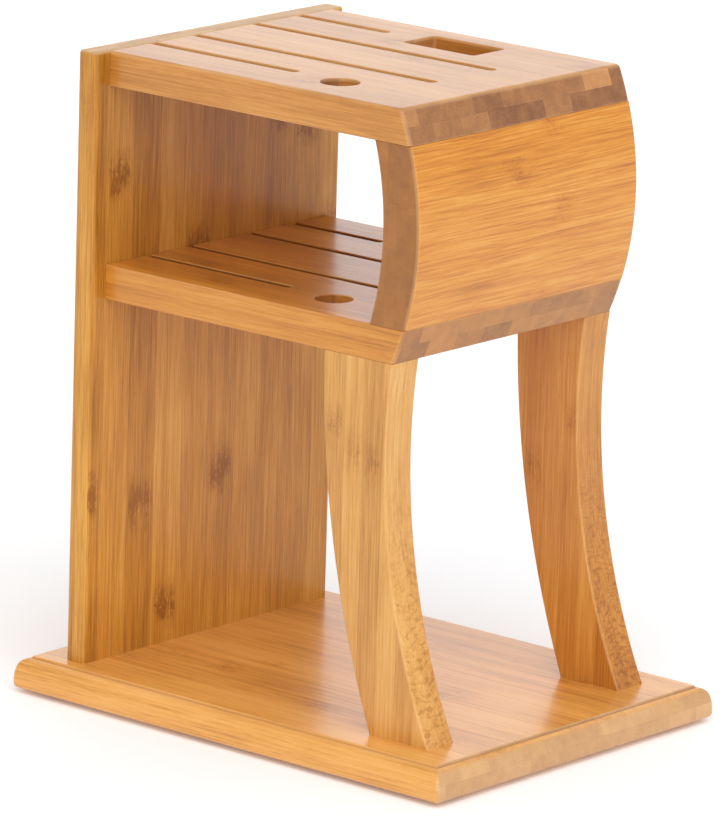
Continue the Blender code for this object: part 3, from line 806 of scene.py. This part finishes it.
leg_middle_x = sum(corner.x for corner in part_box("right_leg")) / 2
# The right leg gets darker, deeper tones as painted shade from the near left leg; the left leg's tones are
# the lit ones.
lit_leg_tones = [(0.42, 0.16, 0.020), (0.70, 0.33, 0.068), (0.88, 0.50, 0.15)]
shaded_leg_tones = [(0.36, 0.11, 0.008), (0.60, 0.235, 0.028), (0.80, 0.40, 0.08)]
for side, tones, seed in (("left", lit_leg_tones, 12.3), ("right", shaded_leg_tones, 7.9)):
    leg_bamboo = bamboo(
        f"{side} leg bamboo",
        axes="ZYX",
        stave=0.0118,
        ply=leg_middle_x / LEG_PLIES_FROM_MIDDLE,
        start=0.0,
        seed=seed,
        tones=tones,
        end_tones=tones[:2],
        marks=0.6,
        ripple=0.16,
    )
    leg = f"{side}_leg"
    leg_low, leg_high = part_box(leg)
    leg_front_y = bow_front_y(leg_high.z)
    waist_depth = LEG_FRONT_RADIUS - math.sqrt(LEG_FRONT_RADIUS**2 - (leg_high.z - LEG_WAIST_Z) ** 2)
    leg_sizes = {
        "Left": leg_low.x,
        "Right": leg_high.x,
        "Bottom": base_box[1].z,
        "Top": lower_box[0].z,
        "Front Apex": leg_front_y + waist_depth,
        "Front Height": LEG_WAIST_Z,
        "Front Radius": -LEG_FRONT_RADIUS,
        "Back Apex": leg_front_y + LEG_TOP_DEPTH,
        "Back Height": leg_high.z,
        "Back Radius": -LEG_BACK_RADIUS,
        "Material": leg_bamboo,
    }
    leg_mesh = curved_board(f"{leg}_finished", leg_sizes, LEG_ARRIS)
    show(f"{leg}_finished", leg_mesh, leg_bamboo, "bamboo_leg", leg)


# Screws.  Zinc-plated countersunk wood screws with a cross recess: five up through the base board, and
# two through the panel into each deck.  One screw is drawn by rule and driven in at each place.

SCREW_HEAD_RADIUS = 0.0040
SCREW_HEAD_DEPTH = 0.0024
SCREW_RIM = 0.0003
SCREW_PROUD = 0.00012
SCREW_CORE = 0.00155
SCREW_THREAD = 0.0004
SCREW_PITCH = 0.0018
SCREW_TIP_TAPER = 2.6
SCREW_SEGMENTS = 24
SCREW_ROWS = 110
ROWS_TOWARDS_HEAD = 0.6
RECESS_WIDTH = 0.0009
RECESS_LENGTH = 0.0046
RECESS_DEPTH = 0.0016

screw_nodes = [n for n in frame["nodes"] if "_screw" in n]
screw_places, screw_facing = [], []
for node in screw_nodes:
    low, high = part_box(node)
    middle = (low + high) / 2
    if high.z - low.z > high.y - low.y:
        screw_places.append((middle.x, middle.y, low.z - SCREW_PROUD))
        screw_facing.append((0, 0, -1))
        screw_length = high.z - low.z
    else:
        screw_places.append((middle.x, high.y + SCREW_PROUD, middle.z))
        screw_facing.append((0, 1, 0))
screw_inputs = ["Length", "Head Radius", "Head Depth", "Core", "Thread", "Pitch", "Material"]
screw_sheet, screw = shape_tree("Screws", screw_inputs)
bar = screw_sheet.node(
    "GeometryNodeMeshCylinder",
    {"fill_type": "NGON"},
    {"Vertices": SCREW_SEGMENTS, "Side Segments": SCREW_ROWS, "Radius": 1.0, "Depth": 1.0},
)
bar_at = screw_sheet.node("GeometryNodeInputPosition")
bar_x = screw_sheet.node("ShaderNodeSeparateXYZ", None, {0: bar_at}, "X")
bar_y, bar_z = bar_x.beside("Y"), bar_x.beside("Z")
from_top = 0.5 - bar_z
depth = from_top * from_top * screw["Length"] * ROWS_TOWARDS_HEAD
depth = depth + from_top * screw["Length"] * (1 - ROWS_TOWARDS_HEAD)
turned = bar_y.maths("ARCTAN2", bar_y, bar_x) / math.tau + depth / screw["Pitch"]
ridge = abs(turned.maths("FRACT", turned) - 0.5) * 2.0
threaded = depth.rise(screw["Head Depth"] * 1.6, screw["Head Depth"] * 2.4)
tip = (screw["Length"] - depth) / screw["Core"]
shank = (screw["Core"] + screw["Thread"] * (ridge**3.0) * threaded) * tip.rise(0.0, SCREW_TIP_TAPER)
under_head = screw["Head Radius"] - (depth - SCREW_RIM)
rim_round = screw["Head Radius"] - (1.0 - depth.rise(0.0, SCREW_RIM)) * SCREW_RIM
head = under_head.maths("MINIMUM", under_head, rim_round)
girth = shank.maths("MAXIMUM", shank, head)
bar_to = screw_sheet.point(bar_x * girth, bar_y * girth, 0.0 - depth)
turned_bar = screw_sheet.node("GeometryNodeSetPosition", None, {"Geometry": bar, "Position": bar_to})
cutting = {"operation": "DIFFERENCE", "solver": "EXACT"}
cut = screw_sheet.node("GeometryNodeMeshBoolean", cutting, {0: turned_bar})
for wide, long in ((RECESS_LENGTH, RECESS_WIDTH), (RECESS_WIDTH, RECESS_LENGTH)):
    blade = screw_sheet.node("GeometryNodeMeshCube", None, {"Size": (wide, long, RECESS_DEPTH * 2)})
    screw_sheet.tree.links.new(blade.socket, cut.socket.node.inputs[1])
direction = {"data_type": "FLOAT_VECTOR"}
outward = screw_sheet.node("GeometryNodeInputNamedAttribute", direction, {"Name": "outward"})
turn = screw_sheet.node("FunctionNodeAlignRotationToVector", {"axis": "Z"}, {"Vector": outward})
screw_sockets = {"Points": screw["Geometry"], "Instance": cut, "Rotation": turn}
screws = screw_sheet.node("GeometryNodeInstanceOnPoints", None, screw_sockets)
end_tree(screw_sheet, screws, screw["Material"])
zinc_tones = [(0.52, 0.52, 0.50), (0.72, 0.71, 0.68)]
zinc = plain_material("zinc screw", zinc_tones, roughness=0.34, metallic=1.0, grain=2600, depth=0.00008)
screw_sizes = {
    "Length": screw_length,
    "Head Radius": SCREW_HEAD_RADIUS,
    "Head Depth": SCREW_HEAD_DEPTH,
    "Core": SCREW_CORE,
    "Thread": SCREW_THREAD,
    "Pitch": SCREW_PITCH,
    "Material": zinc,
}
screw_points = points_mesh("screw_places", screw_places, screw_facing)
screw_mesh = shape_from(screw_sheet.tree, screw_points, screw_sizes)
show("screws", screw_mesh, zinc, "zinc_screw", *screw_nodes)


# Dowels.  Plain beech pins, glued half in one board and half in the next, and out of sight once the
# stand is together.

beech_tones = [(0.50, 0.30, 0.15), (0.66, 0.44, 0.25)]
beech = plain_material("dowel beech", beech_tones, roughness=0.6, metallic=0.0, grain=900, depth=0.0003)
for node, dowel in frame["nodes"].items():
    if "_dowel" in node:
        dowel.material_slots[0].material = beech


# Studio.  A white floor and a white surround, with one broad soft lamp high in front on the left and a lit
# screen behind on the right.  The camera stands a little above the stand and well off to its left.

FLOOR_HALF = 6.0
CAMERA_AZIMUTH = math.radians(-49.912)
CAMERA_ELEVATION = math.radians(13.960)
CAMERA_ROLL = math.radians(1.762)
CAMERA_DISTANCE = 3.496
CAMERA_LENS = 361.3
AIM = Vector((0.0, 0.0060, 0.1475))

floor_mesh = bpy.data.meshes.new("floor")
floor_corners = [(x * FLOOR_HALF, y * FLOOR_HALF, 0) for x, y in ((-1, -1), (1, -1), (1, 1), (-1, 1))]
floor_mesh.from_pydata(floor_corners, [], [(0, 1, 2, 3)])
floor = bpy.data.objects.new("floor", floor_mesh)
bpy.context.scene.collection.objects.link(floor)
floor_paint = bpy.data.materials.new("floor white")
floor_paint.use_nodes = True
floor_surface = floor_paint.node_tree.nodes["Principled BSDF"]
floor_surface.inputs["Base Color"].default_value = (0.96, 0.968, 0.98, 1.0)
floor_surface.inputs["Emission Color"].default_value = (1.0, 1.0, 1.0, 1.0)
floor_surface.inputs["Emission Strength"].default_value = 0.12
floor_surface.inputs["Roughness"].default_value = 0.9
floor_surface.inputs["Specular IOR Level"].default_value = 0.1
floor_mesh.materials.append(floor_paint)

world = bpy.data.worlds.new("studio")
world.use_nodes = True
world.node_tree.nodes["Background"].inputs["Color"].default_value = (1.0, 1.0, 1.0, 1.0)
world.node_tree.nodes["Background"].inputs["Strength"].default_value = 0.66
bpy.context.scene.world = world

lamp_data = bpy.data.lights.new("overhead", "SUN")
lamp_data.angle = math.radians(60)
lamp_data.energy = 1.5
lamp = bpy.data.objects.new("overhead", lamp_data)
lamp.rotation_euler = Vector((0.5, 0.6, -0.85)).to_track_quat("-Z", "Y").to_euler()
bpy.context.scene.collection.objects.link(lamp)

screen_data = bpy.data.lights.new("back screen", "AREA")
screen_data.shape = "RECTANGLE"
screen_data.size = 2.4
screen_data.size_y = 1.2
screen_data.energy = 7.0
screen = bpy.data.objects.new("back screen", screen_data)
screen.location = (2.1, 1.8, 0.9)
screen.rotation_euler = (AIM - screen.location).to_track_quat("-Z", "Y").to_euler()
bpy.context.scene.collection.objects.link(screen)

camera_data = bpy.data.cameras.new("camera")
camera_data.sensor_fit = "HORIZONTAL"
camera_data.sensor_width = 36.0
camera_data.lens = CAMERA_LENS
camera = bpy.data.objects.new("camera", camera_data)
outwards = Vector(
    (
        math.sin(CAMERA_AZIMUTH) * math.cos(CAMERA_ELEVATION),
        -math.cos(CAMERA_AZIMUTH) * math.cos(CAMERA_ELEVATION),
        math.sin(CAMERA_ELEVATION),
    )
)
look = (-outwards).to_track_quat("-Z", "Y").to_matrix() @ Matrix.Rotation(CAMERA_ROLL, 3, "Z")
camera.matrix_world = Matrix.Translation(AIM + outwards * CAMERA_DISTANCE) @ look.to_4x4()
bpy.context.scene.collection.objects.link(camera)
bpy.context.scene.camera = camera
bpy.context.scene.view_settings.view_transform = "Standard"
